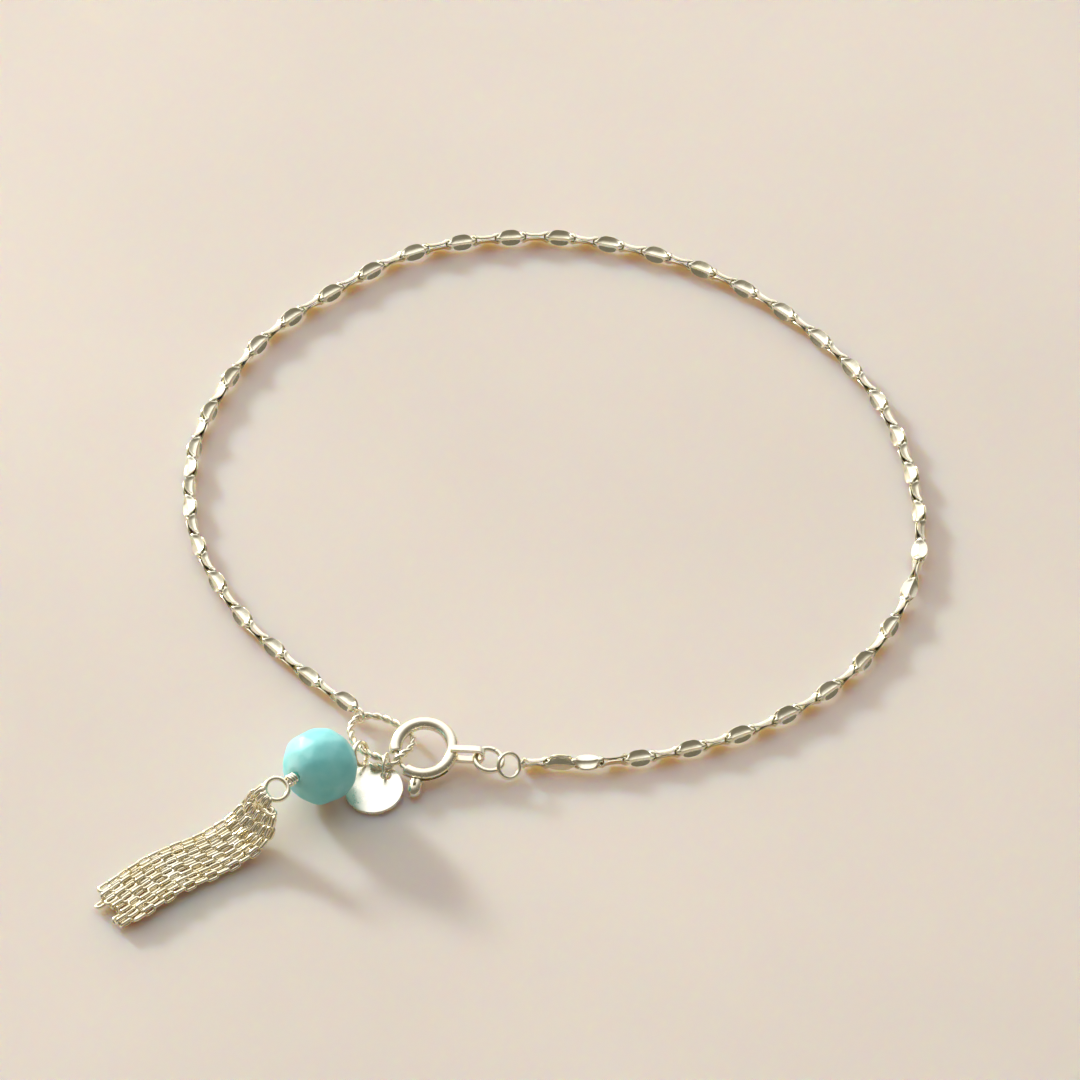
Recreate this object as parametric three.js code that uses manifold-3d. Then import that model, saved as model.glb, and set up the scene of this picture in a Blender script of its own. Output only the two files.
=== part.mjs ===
// A chain bracelet of pressed petal links, closed by a spring ring, with a faceted bead on a
// wrapped wire, a tassel of fine chains and a plain disc tag.
// Millimetres, +Z up. It lies on the plane z = 0, +Y away from the viewer, +X to the viewer's right.
// Places are measured from a point inside the loop, and the whole is moved at the end so that the
// origin is the middle of its footprint.
import * as THREE from "three";
import { mergeVertices } from "three/addons/utils/BufferGeometryUtils.js";
import Module from "manifold-3d";

const wasm = await Module();
wasm.setup();

// Petal chain
const linkCount = 80;
const chainRoute = [
  { x: -0.43, y: -21.18 },
  { x: 5.06, y: -21.09 },
  { x: 14.24, y: -18.64 },
  { x: 21.98, y: -13.4 },
  { x: 26.73, y: -5.74 },
  { x: 27.94, y: 1.5 },
  { x: 25.58, y: 12.43 },
  { x: 20.05, y: 20.44 },
  { x: 12.3, y: 26.35 },
  { x: 3.51, y: 29.34 },
  { x: -2.14, y: 29.65 },
  { x: -9.36, y: 28.2 },
  { x: -14.18, y: 25.22 },
  { x: -20.99, y: 19.03 },
  { x: -25.08, y: 10.75 },
  { x: -25.86, y: 5.27 },
  { x: -25.15, y: -0.52 },
  { x: -21.8, y: -7.44 },
  { x: -17.83, y: -12.11 },
  { x: -13.87, y: -15.98 },
];
// How far an odd link's face leans from straight up towards the inside of the loop; an even link
// is turned back by a quarter. Between the rows the lean changes evenly.
const chainTwist = [
  { link: 1, lean: 45 },
  { link: 2, lean: 20 },
  { link: 3, lean: -5 },
  { link: 5, lean: -45 },
  { link: 17, lean: -45 },
  { link: 23, lean: 45 },
  { link: 80, lean: 45 },
];
// The ends are lifted by the rings that they hang on.
const chainLift = [
  { link: 1, rise: 0.01 },
  { link: 77, rise: 0.01 },
  { link: 79, rise: 0.11 },
  { link: 80, rise: 0.48 },
];
// The wire of one link, at the shoulder of an eye and at the end of the pressed leaf: along is
// measured on the link's length, rise off its middle plane, and the half sizes are across the leaf
// and through it.
const linkShoulder = { rise: 0.27, halfWidth: 0.125, halfDepth: 0.14 };
// An eye reaches this far past the middle between two links, so that its wire holds the next one.
const linkReach = 0.03;
const linkLeaf = { along: 0.36, rise: 0.135, halfWidth: 0.70, halfDepth: 0.115 };
// The five corners of a link wire's section: flat towards the inside of the loop of wire, and an
// edge outside, which is the rib along the middle of a leaf.
const linkSection = [
  { wide: -0.59, deep: -0.81 },
  { wide: 0.59, deep: -0.81 },
  { wide: 0.95, deep: 0.31 },
  { wide: 0, deep: 1 },
  { wide: -0.95, deep: 0.31 },
];
// The way that the chain end ring's wire runs where the first link hangs on it.
const firstRingWay = new THREE.Vector3(0, 0.766, 0.643);
// The outer eyes of the first and last links are wider, for their rings.
const outerEyeRise = 0.36;

// Spring ring
const claspCentre = [-8.27, -20.43, 1.2];
const claspNormal = [-0.033, -0.209, 0.977];
const claspRadius = 2.03;
const claspTubeRadius = 0.475;
const claspBoreRadius = 0.245;
const claspGap = { from: 187, to: 231.6 };
const boltRadius = 0.17;
const boltTip = 181;
const boltHeel = 263;
const knobAngle = 258.3;
const knobSwing = 49;
const knobStemRadius = 0.12;
// The knob's foot stands this far off the tube; its rows are measured from there.
const knobClearance = 0.05;
const knobRows = [
  { along: 0, radius: 0.43 },
  { along: 0.1, radius: 0.52 },
  { along: 0.65, radius: 0.52 },
  { along: 0.95, radius: 0.47 },
  { along: 1.2, radius: 0.3 },
  { along: 1.35, radius: 0.1 },
];
// The slot for the knob's stem is open this many degrees before and past its travel.
const slotHalfWidth = 0.19;
const slotBefore = 7;
const slotPast = 6;
const pocketDepth = 10;
// Cutting bodies run this far past a face that they open.
const pastTube = 0.2;
const pastDegrees = 2;

// Strap tag of the spring ring: a folded strip
const strapAngle = -4.0;
const strapAxisPoint = [-8.293, -20.725, 1.162];
const strapRoll = 14.9;
const strapHalfGap = 0.47;
const strapThickness = 0.26;
const strapWidth = 0.65;
const strapTopStart = 1.95;
const strapFoldCentre = 3.8;
const strapLowerEnd = 2.35;

// Plain rings: centre, normal, radius of the wire's middle line and radius of the wire
const tagRing = { centre: [-3.645, -21.318, 1.045], normal: [0.146, -0.032, 0.989], radius: 0.985, wire: 0.2 };
const chainEndRing = { centre: [-2.2, -21.845, 1.047], normal: [0.526, -0.547, 0.652], radius: 0.89, wire: 0.14 };
const discRing = { centre: [-10.94, -21.884, 1.04], normal: [0.978, -0.147, 0.148], radius: 0.886, wire: 0.115 };
const endLoop = { centre: [-12.93, -17.2, 0.93], normal: [-0.8, -0.5, 0.33], radius: 0.52, wire: 0.1 };

// Twisted ring: two strands, its ends lying side by side
const ropeRoute = [
  { x: -12.05, y: -21.72, z: 0.95 },
  { x: -11.45, y: -21.85, z: 0.94 },
  { x: -10.9, y: -21.85, z: 0.95 },
  { x: -10.35, y: -21.65, z: 1.18 },
  { x: -9.99, y: -21.32, z: 1.42 },
  { x: -9.36, y: -20.62, z: 1.26 },
  { x: -9.01, y: -19.54, z: 0.96 },
  { x: -9.48, y: -18.36, z: 0.67 },
  { x: -10.32, y: -17.61, z: 0.56 },
  { x: -11.62, y: -17.04, z: 0.6 },
  { x: -12.86, y: -17.23, z: 0.82 },
  { x: -13.45, y: -18.2, z: 1.12 },
  { x: -13.42, y: -19.55, z: 1.36 },
  { x: -12.73, y: -20.73, z: 1.44 },
  { x: -12.2, y: -21.08, z: 1.5 },
  { x: -11.6, y: -21.38, z: 1.5 },
  { x: -11.0, y: -21.58, z: 1.45 },
];
const ropeStrandRadius = 0.14;
const ropeStrandOffset = 0.115;
const ropeTwistPitch = 1.5;
const ropeStepLength = 0.25;

// Disc tag
const discCentre = [-11.812, -23.408, 0.323];
const discNormal = [-0.051, -0.082, 0.995];
const discRadius = 2.1;
const discThickness = 0.32;
const discHoleRadius = 0.4;
const discHoleCentre = [-10.955, -22.352, 0.455];

// Bead and its wire
const beadCentre = [-15.59, -23.28, 2.83];
const beadAxis = [-0.68, -0.657, 0.324];
const beadHoleRadius = 0.28;
const beadSides = 10;
const beadRows = [
  { along: -2.42, radius: 0.8 },
  { along: -1.98, radius: 1.83 },
  { along: -0.95, radius: 2.7 },
  { along: 0.95, radius: 2.7 },
  { along: 1.98, radius: 1.83 },
  { along: 2.42, radius: 0.8 },
];
const wireShaftRadius = 0.18;
const leftEye = { centre: [-18.576, -25.935, 3.6], normal: [0.103, -0.32, 0.942], radius: 0.82, wire: 0.18 };
const rightEye = { centre: [-12.751, -21.124, 1.529], normal: [0.846, -0.343, 0.409], radius: 0.823, wire: 0.165 };
const wrapRadius = 0.43;
const wrapValleyRadius = 0.33;
const wrapStart = 0.06;
const wrapLength = 0.62;
const wrapTurns = 3;

// Tassel: each strand is a flat strip here, hung at its angle on the left eye. The strands lie side
// by side about the tassel's middle line, share spacings from it, and each has its own reach.
const tasselStrands = [
  { onEye: 178, share: 3, reach: 4.6 },
  { onEye: 188, share: 2, reach: 4.95 },
  { onEye: 198, share: 1, reach: 5.05 },
  { onEye: 207, share: 0, reach: 4.65 },
  { onEye: 217, share: -1, reach: 4.65 },
  { onEye: 227, share: -2, reach: 4.9 },
  { onEye: 238, share: -3, reach: 4.4 },
];
const tasselMiddle = [
  { x: -19.5, y: -26.8, z: 2.75, spacing: 0.42 },
  { x: -20.5, y: -27.65, z: 1.1, spacing: 0.56 },
  { x: -22.35, y: -28.85, z: 0.44, spacing: 0.58 },
  { x: -26.4, y: -31.2, z: 0.44, spacing: 0.61 },
];
const tasselRun = [-0.8, -0.6, 0];
const tasselEnd = { spacing: 0.6, sideways: -0.25 };
const strandRadius = 0.4;
const strandSteps = 10;
// A strand leaves its small ring this far out from the eye's wire and this far below it.
const strandStart = { out: 0.5, below: 0.3 };
const tasselHead = { radius: 0.35, wire: 0.11, out: 0.06, below: 0.04 };

const materials = {
  gold: { color: 0xcfc294, roughness: 0.25, metalness: 1 },
  brightGold: { color: 0xe6dfc0, roughness: 0.15, metalness: 1 },
  stone: { color: 0x8fd0c6, roughness: 0.3, metalness: 0 },
};

const group = new THREE.Group();
const up = new THREE.Vector3(0, 0, 1);

function vec(values) {
  return new THREE.Vector3(values[0], values[1], values[2]);
}

function unit(values) {
  return vec(values).normalize();
}

// A unit vector close to +X in the plane across a direction.
function across(normal) {
  return new THREE.Vector3(1, 0, 0).addScaledVector(normal, -normal.x).normalize();
}

function onCircle(ring, degrees) {
  const normal = unit(ring.normal);
  const x = across(normal);
  const y = new THREE.Vector3().crossVectors(normal, x);
  const angle = THREE.MathUtils.degToRad(degrees);
  return vec(ring.centre)
    .addScaledVector(x, ring.radius * Math.cos(angle))
    .addScaledVector(y, ring.radius * Math.sin(angle));
}

function between(rows, key, link) {
  let before = rows[0];
  for (const after of rows) {
    if (after.link >= link) {
      const span = after.link - before.link;
      const share = span > 0 ? (link - before.link) / span : 0;
      return before[key] + share * (after[key] - before[key]);
    }
    before = after;
  }
  return before[key];
}

// A closed body through a row of sections with equally many points. The row ends in two caps, or
// runs round to its own start.
function loft(sections, closed = false) {
  const sides = sections[0].length;
  const positions = sections.flat().flatMap((point) => [point.x, point.y, point.z]);
  const faces = [];
  const spans = closed ? sections.length : sections.length - 1;
  for (let row = 0; row < spans; row += 1) {
    const next = (row + 1) % sections.length;
    for (let side = 0; side < sides; side += 1) {
      const beside = (side + 1) % sides;
      faces.push(row * sides + side, row * sides + beside, next * sides + beside);
      faces.push(row * sides + side, next * sides + beside, next * sides + side);
    }
  }
  if (!closed) {
    const last = (sections.length - 1) * sides;
    for (let side = 1; side < sides - 1; side += 1) {
      faces.push(0, side + 1, side);
      faces.push(last, last + side, last + side + 1);
    }
  }
  const geometry = new THREE.BufferGeometry();
  geometry.setAttribute("position", new THREE.Float32BufferAttribute(positions, 3));
  geometry.setIndex(faces);
  return facingOut(geometry);
}

function facingOut(geometry) {
  const place = geometry.attributes.position;
  const index = geometry.index.array;
  const a = new THREE.Vector3();
  const b = new THREE.Vector3();
  const c = new THREE.Vector3();
  let volume = 0;
  for (let i = 0; i < index.length; i += 3) {
    a.fromBufferAttribute(place, index[i]);
    b.fromBufferAttribute(place, index[i + 1]);
    c.fromBufferAttribute(place, index[i + 2]);
    volume += a.dot(b.cross(c));
  }
  if (volume < 0) {
    for (let i = 0; i < index.length; i += 3) {
      [index[i + 1], index[i + 2]] = [index[i + 2], index[i + 1]];
    }
  }
  return geometry;
}

// A section of a round bar: a circle of points about a centre, in the plane of two directions.
function roundSection(centre, right, top, radius, sides) {
  return Array.from({ length: sides }, (_, side) => {
    const angle = (2 * Math.PI * (side + 0.5)) / sides;
    return centre
      .clone()
      .addScaledVector(right, radius * Math.cos(angle))
      .addScaledVector(top, radius * Math.sin(angle));
  });
}

// A bar of even or changing radius along a row of places, its section carried along unturned.
function bar(places, radiusAt, sides, closed = false) {
  const count = places.length;
  const start = new THREE.Vector3().subVectors(places[1], places[0]).normalize();
  let right = across(Math.abs(start.x) > 0.9 ? new THREE.Vector3(0, 0, 1) : start);
  const sections = places.map((place, i) => {
    const before = places[closed ? (i + count - 1) % count : Math.max(i - 1, 0)];
    const after = places[closed ? (i + 1) % count : Math.min(i + 1, count - 1)];
    const along = new THREE.Vector3().subVectors(after, before).normalize();
    right = right.clone().addScaledVector(along, -right.dot(along)).normalize();
    const top = new THREE.Vector3().crossVectors(along, right);
    return roundSection(place, right, top, radiusAt(i / (count - 1)), sides);
  });
  return loft(sections, closed);
}

function ringBody(ring, steps, sides) {
  const normal = unit(ring.normal);
  const sections = Array.from({ length: steps }, (_, i) => {
    const place = onCircle(ring, (360 * i) / steps);
    const outward = new THREE.Vector3().subVectors(place, vec(ring.centre)).normalize();
    return roundSection(place, outward, normal, ring.wire, sides);
  });
  return loft(sections, true);
}

function solid(geometry) {
  const bare = geometry.clone();
  bare.deleteAttribute("normal");
  bare.deleteAttribute("uv");
  const merged = mergeVertices(bare, 1e-5);
  return new wasm.Manifold(
    new wasm.Mesh({
      numProp: 3,
      vertProperties: new Float32Array(merged.attributes.position.array),
      triVerts: new Uint32Array(merged.index.array),
    }),
  );
}

function body(manifold) {
  const mesh = manifold.getMesh();
  const geometry = new THREE.BufferGeometry();
  geometry.setAttribute("position", new THREE.Float32BufferAttribute(mesh.vertProperties, 3));
  geometry.setIndex(Array.from(mesh.triVerts));
  return geometry;
}

function addPiece(name, geometry, look) {
  geometry.computeVertexNormals();
  const mesh = new THREE.Mesh(geometry, new THREE.MeshStandardMaterial(materials[look]));
  mesh.name = name;
  group.add(mesh);
}

function chainCurve() {
  const curve = new THREE.CatmullRomCurve3(chainRoute.map((row) => new THREE.Vector3(row.x, row.y, 0)));
  curve.arcLengthDivisions = 1200;
  return curve;
}

// Where a link lies: its middle, the way along it, its face's normal and the way across the leaf.
function linkFrame(curve, link) {
  const share = (link - 1) / (linkCount - 1);
  const middle = curve.getPointAt(share);
  const along = curve.getTangentAt(share).setZ(0).normalize();
  const inward = new THREE.Vector3().crossVectors(up, along);
  const lean = between(chainTwist, "lean", link) - (link % 2 === 0 ? 90 : 0);
  const angle = THREE.MathUtils.degToRad(lean);
  const upright = Math.abs(Math.sin(angle));
  const flat = Math.abs(Math.cos(angle));
  const edge = linkSection[2];
  const leafWide = edge.wide * linkLeaf.halfWidth;
  const leafThick = linkLeaf.rise + edge.deep * linkLeaf.halfDepth;
  middle.z = leafWide * Math.max(upright, flat) + leafThick * Math.min(upright, flat);
  middle.z += between(chainLift, "rise", link);
  const face = new THREE.Vector3().addScaledVector(up, Math.cos(angle)).addScaledVector(inward, Math.sin(angle));
  const wide = new THREE.Vector3().crossVectors(face, along);
  return { middle, along, face, wide, halfPitch: curve.getLength() / (linkCount - 1) / 2 };
}

// One link: a loop of wire pressed flat at its middle. An end can be turned to take its ring.
function petalLink(frame, turnStart = 0, turnEnd = 0) {
  const along = frame.halfPitch + linkReach;
  const startShoulder = { ...linkShoulder, along, rise: turnStart === 0 ? linkShoulder.rise : outerEyeRise };
  const endShoulder = { ...linkShoulder, along, rise: turnEnd === 0 ? linkShoulder.rise : outerEyeRise };
  const loop = [
    { ...endShoulder, way: 1, side: 1 },
    { ...linkLeaf, way: 1, side: 1 },
    { ...linkLeaf, way: -1, side: 1 },
    { ...startShoulder, way: -1, side: 1 },
    { ...startShoulder, way: -1, side: -1 },
    { ...linkLeaf, way: -1, side: -1 },
    { ...linkLeaf, way: 1, side: -1 },
    { ...endShoulder, way: 1, side: -1 },
  ];
  const places = loop.map((row) => new THREE.Vector2(row.along * row.way, row.rise * row.side));
  const sections = loop.map((row, i) => {
    const before = places[(i + loop.length - 1) % loop.length];
    const after = places[(i + 1) % loop.length];
    const run = after.clone().sub(before).normalize();
    const isLeaf = row.along === linkLeaf.along;
    const out = isLeaf ? new THREE.Vector2(0, row.side) : new THREE.Vector2(-run.y, run.x).negate();
    if (out.dot(places[i]) < 0) {
      out.negate();
    }
    const turn = isLeaf ? 0 : THREE.MathUtils.degToRad(row.way > 0 ? turnEnd : turnStart);
    const face = frame.face.clone().applyAxisAngle(frame.along, turn);
    const wide = frame.wide.clone().applyAxisAngle(frame.along, turn);
    return linkSection.map((corner) => {
      const alongPart = places[i].x + out.x * corner.deep * row.halfDepth;
      const facePart = places[i].y + out.y * corner.deep * row.halfDepth;
      return frame.middle
        .clone()
        .addScaledVector(frame.along, alongPart)
        .addScaledVector(face, facePart)
        .addScaledVector(wide, corner.wide * row.halfWidth);
    });
  });
  return loft(sections, true);
}

// The turn about a link's length that points the hole of its end along a ring's wire.
function turnTowards(frame, wireWay) {
  const angle = Math.atan2(wireWay.dot(frame.face), wireWay.dot(frame.wide));
  const turn = THREE.MathUtils.radToDeg(angle);
  return ((((-turn + 90) % 180) + 180) % 180) - 90;
}

function petalChain() {
  const curve = chainCurve();
  const links = [];
  for (let link = 1; link <= linkCount; link += 1) {
    const frame = linkFrame(curve, link);
    const firstTurn = link === 1 ? turnTowards(frame, firstRingWay) : 0;
    const lastTurn = link === linkCount ? turnTowards(frame, endLoopWay(frame)) : 0;
    links.push(solid(petalLink(frame, firstTurn, lastTurn)));
  }
  return body(wasm.Manifold.union(links));
}

// The way that the end loop's wire runs where the last link hangs in it.
function endLoopWay(frame) {
  const tip = frame.middle.clone().addScaledVector(frame.along, frame.halfPitch + linkReach);
  const fromCentre = tip.sub(vec(endLoop.centre));
  return new THREE.Vector3().crossVectors(unit(endLoop.normal), fromCentre).normalize();
}

// Directions in the plane of the spring ring, and a section of its tube at an angle.
function claspPlane() {
  const normal = unit(claspNormal);
  const x = across(normal);
  return { normal, x, y: new THREE.Vector3().crossVectors(normal, x) };
}

function claspDirection(degrees) {
  const plane = claspPlane();
  const angle = THREE.MathUtils.degToRad(degrees);
  return plane.x.clone().multiplyScalar(Math.cos(angle)).addScaledVector(plane.y, Math.sin(angle));
}

function claspArc(fromDegrees, toDegrees, steps, radius, sides) {
  const normal = unit(claspNormal);
  const sections = [];
  for (let i = 0; i <= steps; i += 1) {
    const outward = claspDirection(fromDegrees + ((toDegrees - fromDegrees) * i) / steps);
    const place = vec(claspCentre).addScaledVector(outward, claspRadius);
    sections.push(roundSection(place, outward, normal, radius, sides));
  }
  return loft(sections);
}

// A block that follows the ring's curve on its outer side.
function claspOuterSlot(fromDegrees, toDegrees, steps) {
  const normal = unit(claspNormal);
  const corners = [
    { out: 0, high: -slotHalfWidth },
    { out: claspTubeRadius + pastTube, high: -slotHalfWidth },
    { out: claspTubeRadius + pastTube, high: slotHalfWidth },
    { out: 0, high: slotHalfWidth },
  ];
  const sections = [];
  for (let i = 0; i <= steps; i += 1) {
    const outward = claspDirection(fromDegrees + ((toDegrees - fromDegrees) * i) / steps);
    sections.push(
      corners.map((corner) =>
        vec(claspCentre)
          .addScaledVector(outward, claspRadius + corner.out)
          .addScaledVector(normal, corner.high),
      ),
    );
  }
  return loft(sections);
}

// The folded strip: along the ring's right, with its upper arm in the tube and its lower arm free.
function strap() {
  const along = claspDirection(strapAngle);
  const roll = THREE.MathUtils.degToRad(strapRoll);
  const apart = new THREE.Vector3(0, Math.sin(roll), Math.cos(roll));
  apart.addScaledVector(along, -apart.dot(along)).normalize();
  const wide = new THREE.Vector3().crossVectors(apart, along);
  const path = [{ along: strapTopStart, side: 1, out: [0, 1] }];
  const foldSteps = 6;
  for (let i = 0; i <= foldSteps; i += 1) {
    const angle = Math.PI / 2 - (Math.PI * i) / foldSteps;
    const out = [Math.cos(angle), Math.sin(angle)];
    path.push({ along: strapFoldCentre + strapHalfGap * out[0], side: out[1], out });
  }
  path.push({ along: strapLowerEnd, side: -1, out: [0, -1] });
  const sections = path.map((row) =>
    [
      [-1, -1],
      [1, -1],
      [1, 1],
      [-1, 1],
    ].map(([width, depth]) =>
      vec(strapAxisPoint)
        .addScaledVector(along, row.along + (row.out[0] * depth * strapThickness) / 2)
        .addScaledVector(apart, row.side * strapHalfGap + (row.out[1] * depth * strapThickness) / 2)
        .addScaledVector(wide, (width * strapWidth) / 2),
    ),
  );
  return loft(sections);
}

function claspRing() {
  const tube = solid(claspArc(claspGap.to - 360, claspGap.from, 26, claspTubeRadius, 10));
  const slotEnd = knobAngle + knobSwing + slotPast;
  const bore = solid(claspArc(claspGap.to - pastDegrees, slotEnd + pastDegrees, 7, claspBoreRadius, 6));
  const slot = solid(claspOuterSlot(knobAngle - slotBefore, slotEnd, 4));
  const pocket = solid(claspArc(claspGap.from - pocketDepth, claspGap.from + pastDegrees, 2, claspBoreRadius, 6));
  return body(tube.subtract(bore).subtract(slot).subtract(pocket).add(solid(strap())));
}

// A round piece turned about a line: each row is a distance along it and a radius.
function turned(start, way, rows, sides) {
  const right = across(Math.abs(way.x) > 0.9 ? new THREE.Vector3(0, 0, 1) : way);
  right.addScaledVector(way, -right.dot(way)).normalize();
  const top = new THREE.Vector3().crossVectors(way, right);
  return loft(
    rows.map((row) => roundSection(start.clone().addScaledVector(way, row.along), right, top, row.radius, sides)),
  );
}

function claspBolt() {
  const pin = solid(claspArc(boltTip, boltHeel, 8, boltRadius, 6));
  const outward = claspDirection(knobAngle);
  const foot = vec(claspCentre).addScaledVector(outward, claspRadius);
  const knobStart = claspTubeRadius + knobClearance;
  const stem = solid(
    turned(foot, outward, [
      { along: 0, radius: knobStemRadius },
      { along: knobStart + knobClearance, radius: knobStemRadius },
    ], 6),
  );
  const knob = solid(turned(foot, outward, knobRows.map((row) => ({ ...row, along: knobStart + row.along })), 12));
  return body(pin.add(stem).add(knob));
}

// The two strands of the twisted ring as one bar with a waisted section that turns along it.
function twistedRing() {
  const curve = new THREE.CatmullRomCurve3(ropeRoute.map((row) => new THREE.Vector3(row.x, row.y, row.z)));
  const length = curve.getLength();
  const steps = Math.round(length / ropeStepLength);
  const sides = 6;
  const outer = ropeStrandRadius + ropeStrandOffset;
  let right = new THREE.Vector3(0, 0, 1);
  const sections = [];
  for (let i = 0; i <= steps; i += 1) {
    const place = curve.getPointAt(i / steps);
    const along = curve.getTangentAt(i / steps);
    right = right.clone().addScaledVector(along, -right.dot(along)).normalize();
    const top = new THREE.Vector3().crossVectors(along, right);
    const turn = (2 * Math.PI * length * i) / steps / ropeTwistPitch;
    const section = [];
    for (let side = 0; side < sides; side += 1) {
      const angle = (2 * Math.PI * side) / sides;
      const radius = ropeStrandRadius + (outer - ropeStrandRadius) * Math.abs(Math.cos(angle));
      section.push(
        place
          .clone()
          .addScaledVector(right, radius * Math.cos(angle + turn))
          .addScaledVector(top, radius * Math.sin(angle + turn)),
      );
    }
    sections.push(section);
  }
  return loft(sections);
}

function discTag() {
  const outline = new THREE.Shape();
  outline.absarc(0, 0, discRadius, 0, 2 * Math.PI, false);
  const normal = unit(discNormal);
  const turn = new THREE.Quaternion().setFromUnitVectors(up, normal);
  const hole = vec(discHoleCentre).sub(vec(discCentre)).applyQuaternion(turn.clone().invert());
  const drilled = new THREE.Path();
  drilled.absarc(hole.x, hole.y, discHoleRadius, 0, 2 * Math.PI, true);
  outline.holes.push(drilled);
  const plate = new THREE.ExtrudeGeometry(outline, { depth: discThickness, bevelEnabled: false, curveSegments: 20 });
  plate.translate(0, 0, -discThickness / 2);
  plate.applyQuaternion(turn);
  plate.translate(...discCentre);
  return body(solid(plate));
}

function bead() {
  const axis = unit(beadAxis);
  const right = across(axis);
  const top = new THREE.Vector3().crossVectors(axis, right);
  const rows = [
    { along: beadRows[0].along, radius: beadHoleRadius },
    ...beadRows,
    { along: beadRows.at(-1).along, radius: beadHoleRadius },
  ];
  const sections = rows.map((row, i) => {
    const shift = ((i % 2) * Math.PI) / beadSides;
    const centre = vec(beadCentre).addScaledVector(axis, row.along);
    return Array.from({ length: beadSides }, (_, side) => {
      const angle = (2 * Math.PI * side) / beadSides + shift;
      return centre
        .clone()
        .addScaledVector(right, row.radius * Math.cos(angle))
        .addScaledVector(top, row.radius * Math.sin(angle));
    });
  });
  return loft(sections, true);
}

// One wire through the bead: an eye at each end, and a wrapped stem beside the left hole.
function beadWire() {
  const axis = unit(beadAxis);
  const leftHole = vec(beadCentre).addScaledVector(axis, beadRows.at(-1).along);
  const rightHole = vec(beadCentre).addScaledVector(axis, beadRows[0].along);
  const leftRim = rimTowards(leftEye, leftHole);
  const rightRim = rimTowards(rightEye, rightHole);
  const shaft = solid(bar([leftRim, leftHole, vec(beadCentre), rightHole, rightRim], () => wireShaftRadius, 6));
  const wrapFoot = leftHole.clone().addScaledVector(axis, wrapStart);
  const wrapWay = new THREE.Vector3().subVectors(leftRim, leftHole).normalize();
  const wrapRows = [];
  for (let turnStep = 0; turnStep < wrapTurns; turnStep += 1) {
    const pitch = wrapLength / wrapTurns;
    wrapRows.push({ along: pitch * turnStep, radius: wrapValleyRadius });
    wrapRows.push({ along: pitch * (turnStep + 0.5), radius: wrapRadius });
  }
  wrapRows.push({ along: wrapLength, radius: wrapValleyRadius });
  const wraps = solid(turned(wrapFoot, wrapWay, wrapRows, 8));
  const eyes = solid(ringBody(leftEye, 16, 5)).add(solid(ringBody(rightEye, 16, 5)));
  return body(shaft.add(wraps).add(eyes));
}

// The place on a ring's middle line that is nearest to a point.
function rimTowards(ring, point) {
  const normal = unit(ring.normal);
  const way = new THREE.Vector3().subVectors(point, vec(ring.centre));
  way.addScaledVector(normal, -way.dot(normal)).normalize();
  return vec(ring.centre).addScaledVector(way, ring.radius);
}

// A strand's place on the left eye, a little out from the wire and below it.
function underEye(strand, out, below) {
  const eye = onCircle(leftEye, strand.onEye);
  const outward = new THREE.Vector3().subVectors(eye, vec(leftEye.centre)).normalize();
  return { outward, place: eye.addScaledVector(outward, out).addScaledVector(up, -below) };
}

// A strand's places from the left eye down to the table and out to its end.
function strandPlaces(strand) {
  const run = unit(tasselRun);
  const side = new THREE.Vector3().crossVectors(run, up);
  const places = [underEye(strand, strandStart.out, strandStart.below).place];
  for (const row of tasselMiddle) {
    places.push(new THREE.Vector3(row.x, row.y, row.z).addScaledVector(side, strand.share * row.spacing));
  }
  const last = tasselMiddle.at(-1);
  const sideways = strand.share * tasselEnd.spacing + tasselEnd.sideways;
  const end = new THREE.Vector3(last.x, last.y, last.z).addScaledVector(run, strand.reach);
  places.push(end.addScaledVector(side, sideways));
  return new THREE.CatmullRomCurve3(places).getSpacedPoints(strandSteps);
}

function tassel() {
  const parts = [];
  for (const strand of tasselStrands) {
    parts.push(solid(bar(strandPlaces(strand), () => strandRadius, 5)));
    const head = underEye(strand, tasselHead.out, tasselHead.below);
    const normal = new THREE.Vector3().crossVectors(unit(leftEye.normal), head.outward);
    const ring = { ...tasselHead, centre: head.place.toArray(), normal: normal.toArray() };
    if (strand.share % 2 !== 0) {
      parts.push(solid(ringBody(ring, 10, 4)));
    }
  }
  return body(wasm.Manifold.union(parts));
}

addPiece("petal_chain", petalChain(), "gold");
addPiece("end_loop", ringBody(endLoop, 12, 5), "gold");
addPiece("twisted_ring", twistedRing(), "brightGold");
addPiece("clasp_ring", claspRing(), "brightGold");
addPiece("clasp_bolt", claspBolt(), "brightGold");
addPiece("tag_ring", ringBody(tagRing, 16, 6), "gold");
addPiece("chain_end_ring", ringBody(chainEndRing, 16, 5), "gold");
addPiece("bead", bead(), "stone");
addPiece("bead_wire", beadWire(), "gold");
addPiece("tassel", tassel(), "gold");
addPiece("disc_tag", discTag(), "brightGold");
addPiece("disc_ring", ringBody(discRing, 16, 5), "gold");

// The origin goes to the middle of the footprint, on the surface.
const box = new THREE.Box3().setFromObject(group);
const middle = box.getCenter(new THREE.Vector3());
group.position.set(-middle.x, -middle.y, -box.min.z);
group.updateMatrixWorld(true);

export default group;
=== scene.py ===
import math
import random

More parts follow.
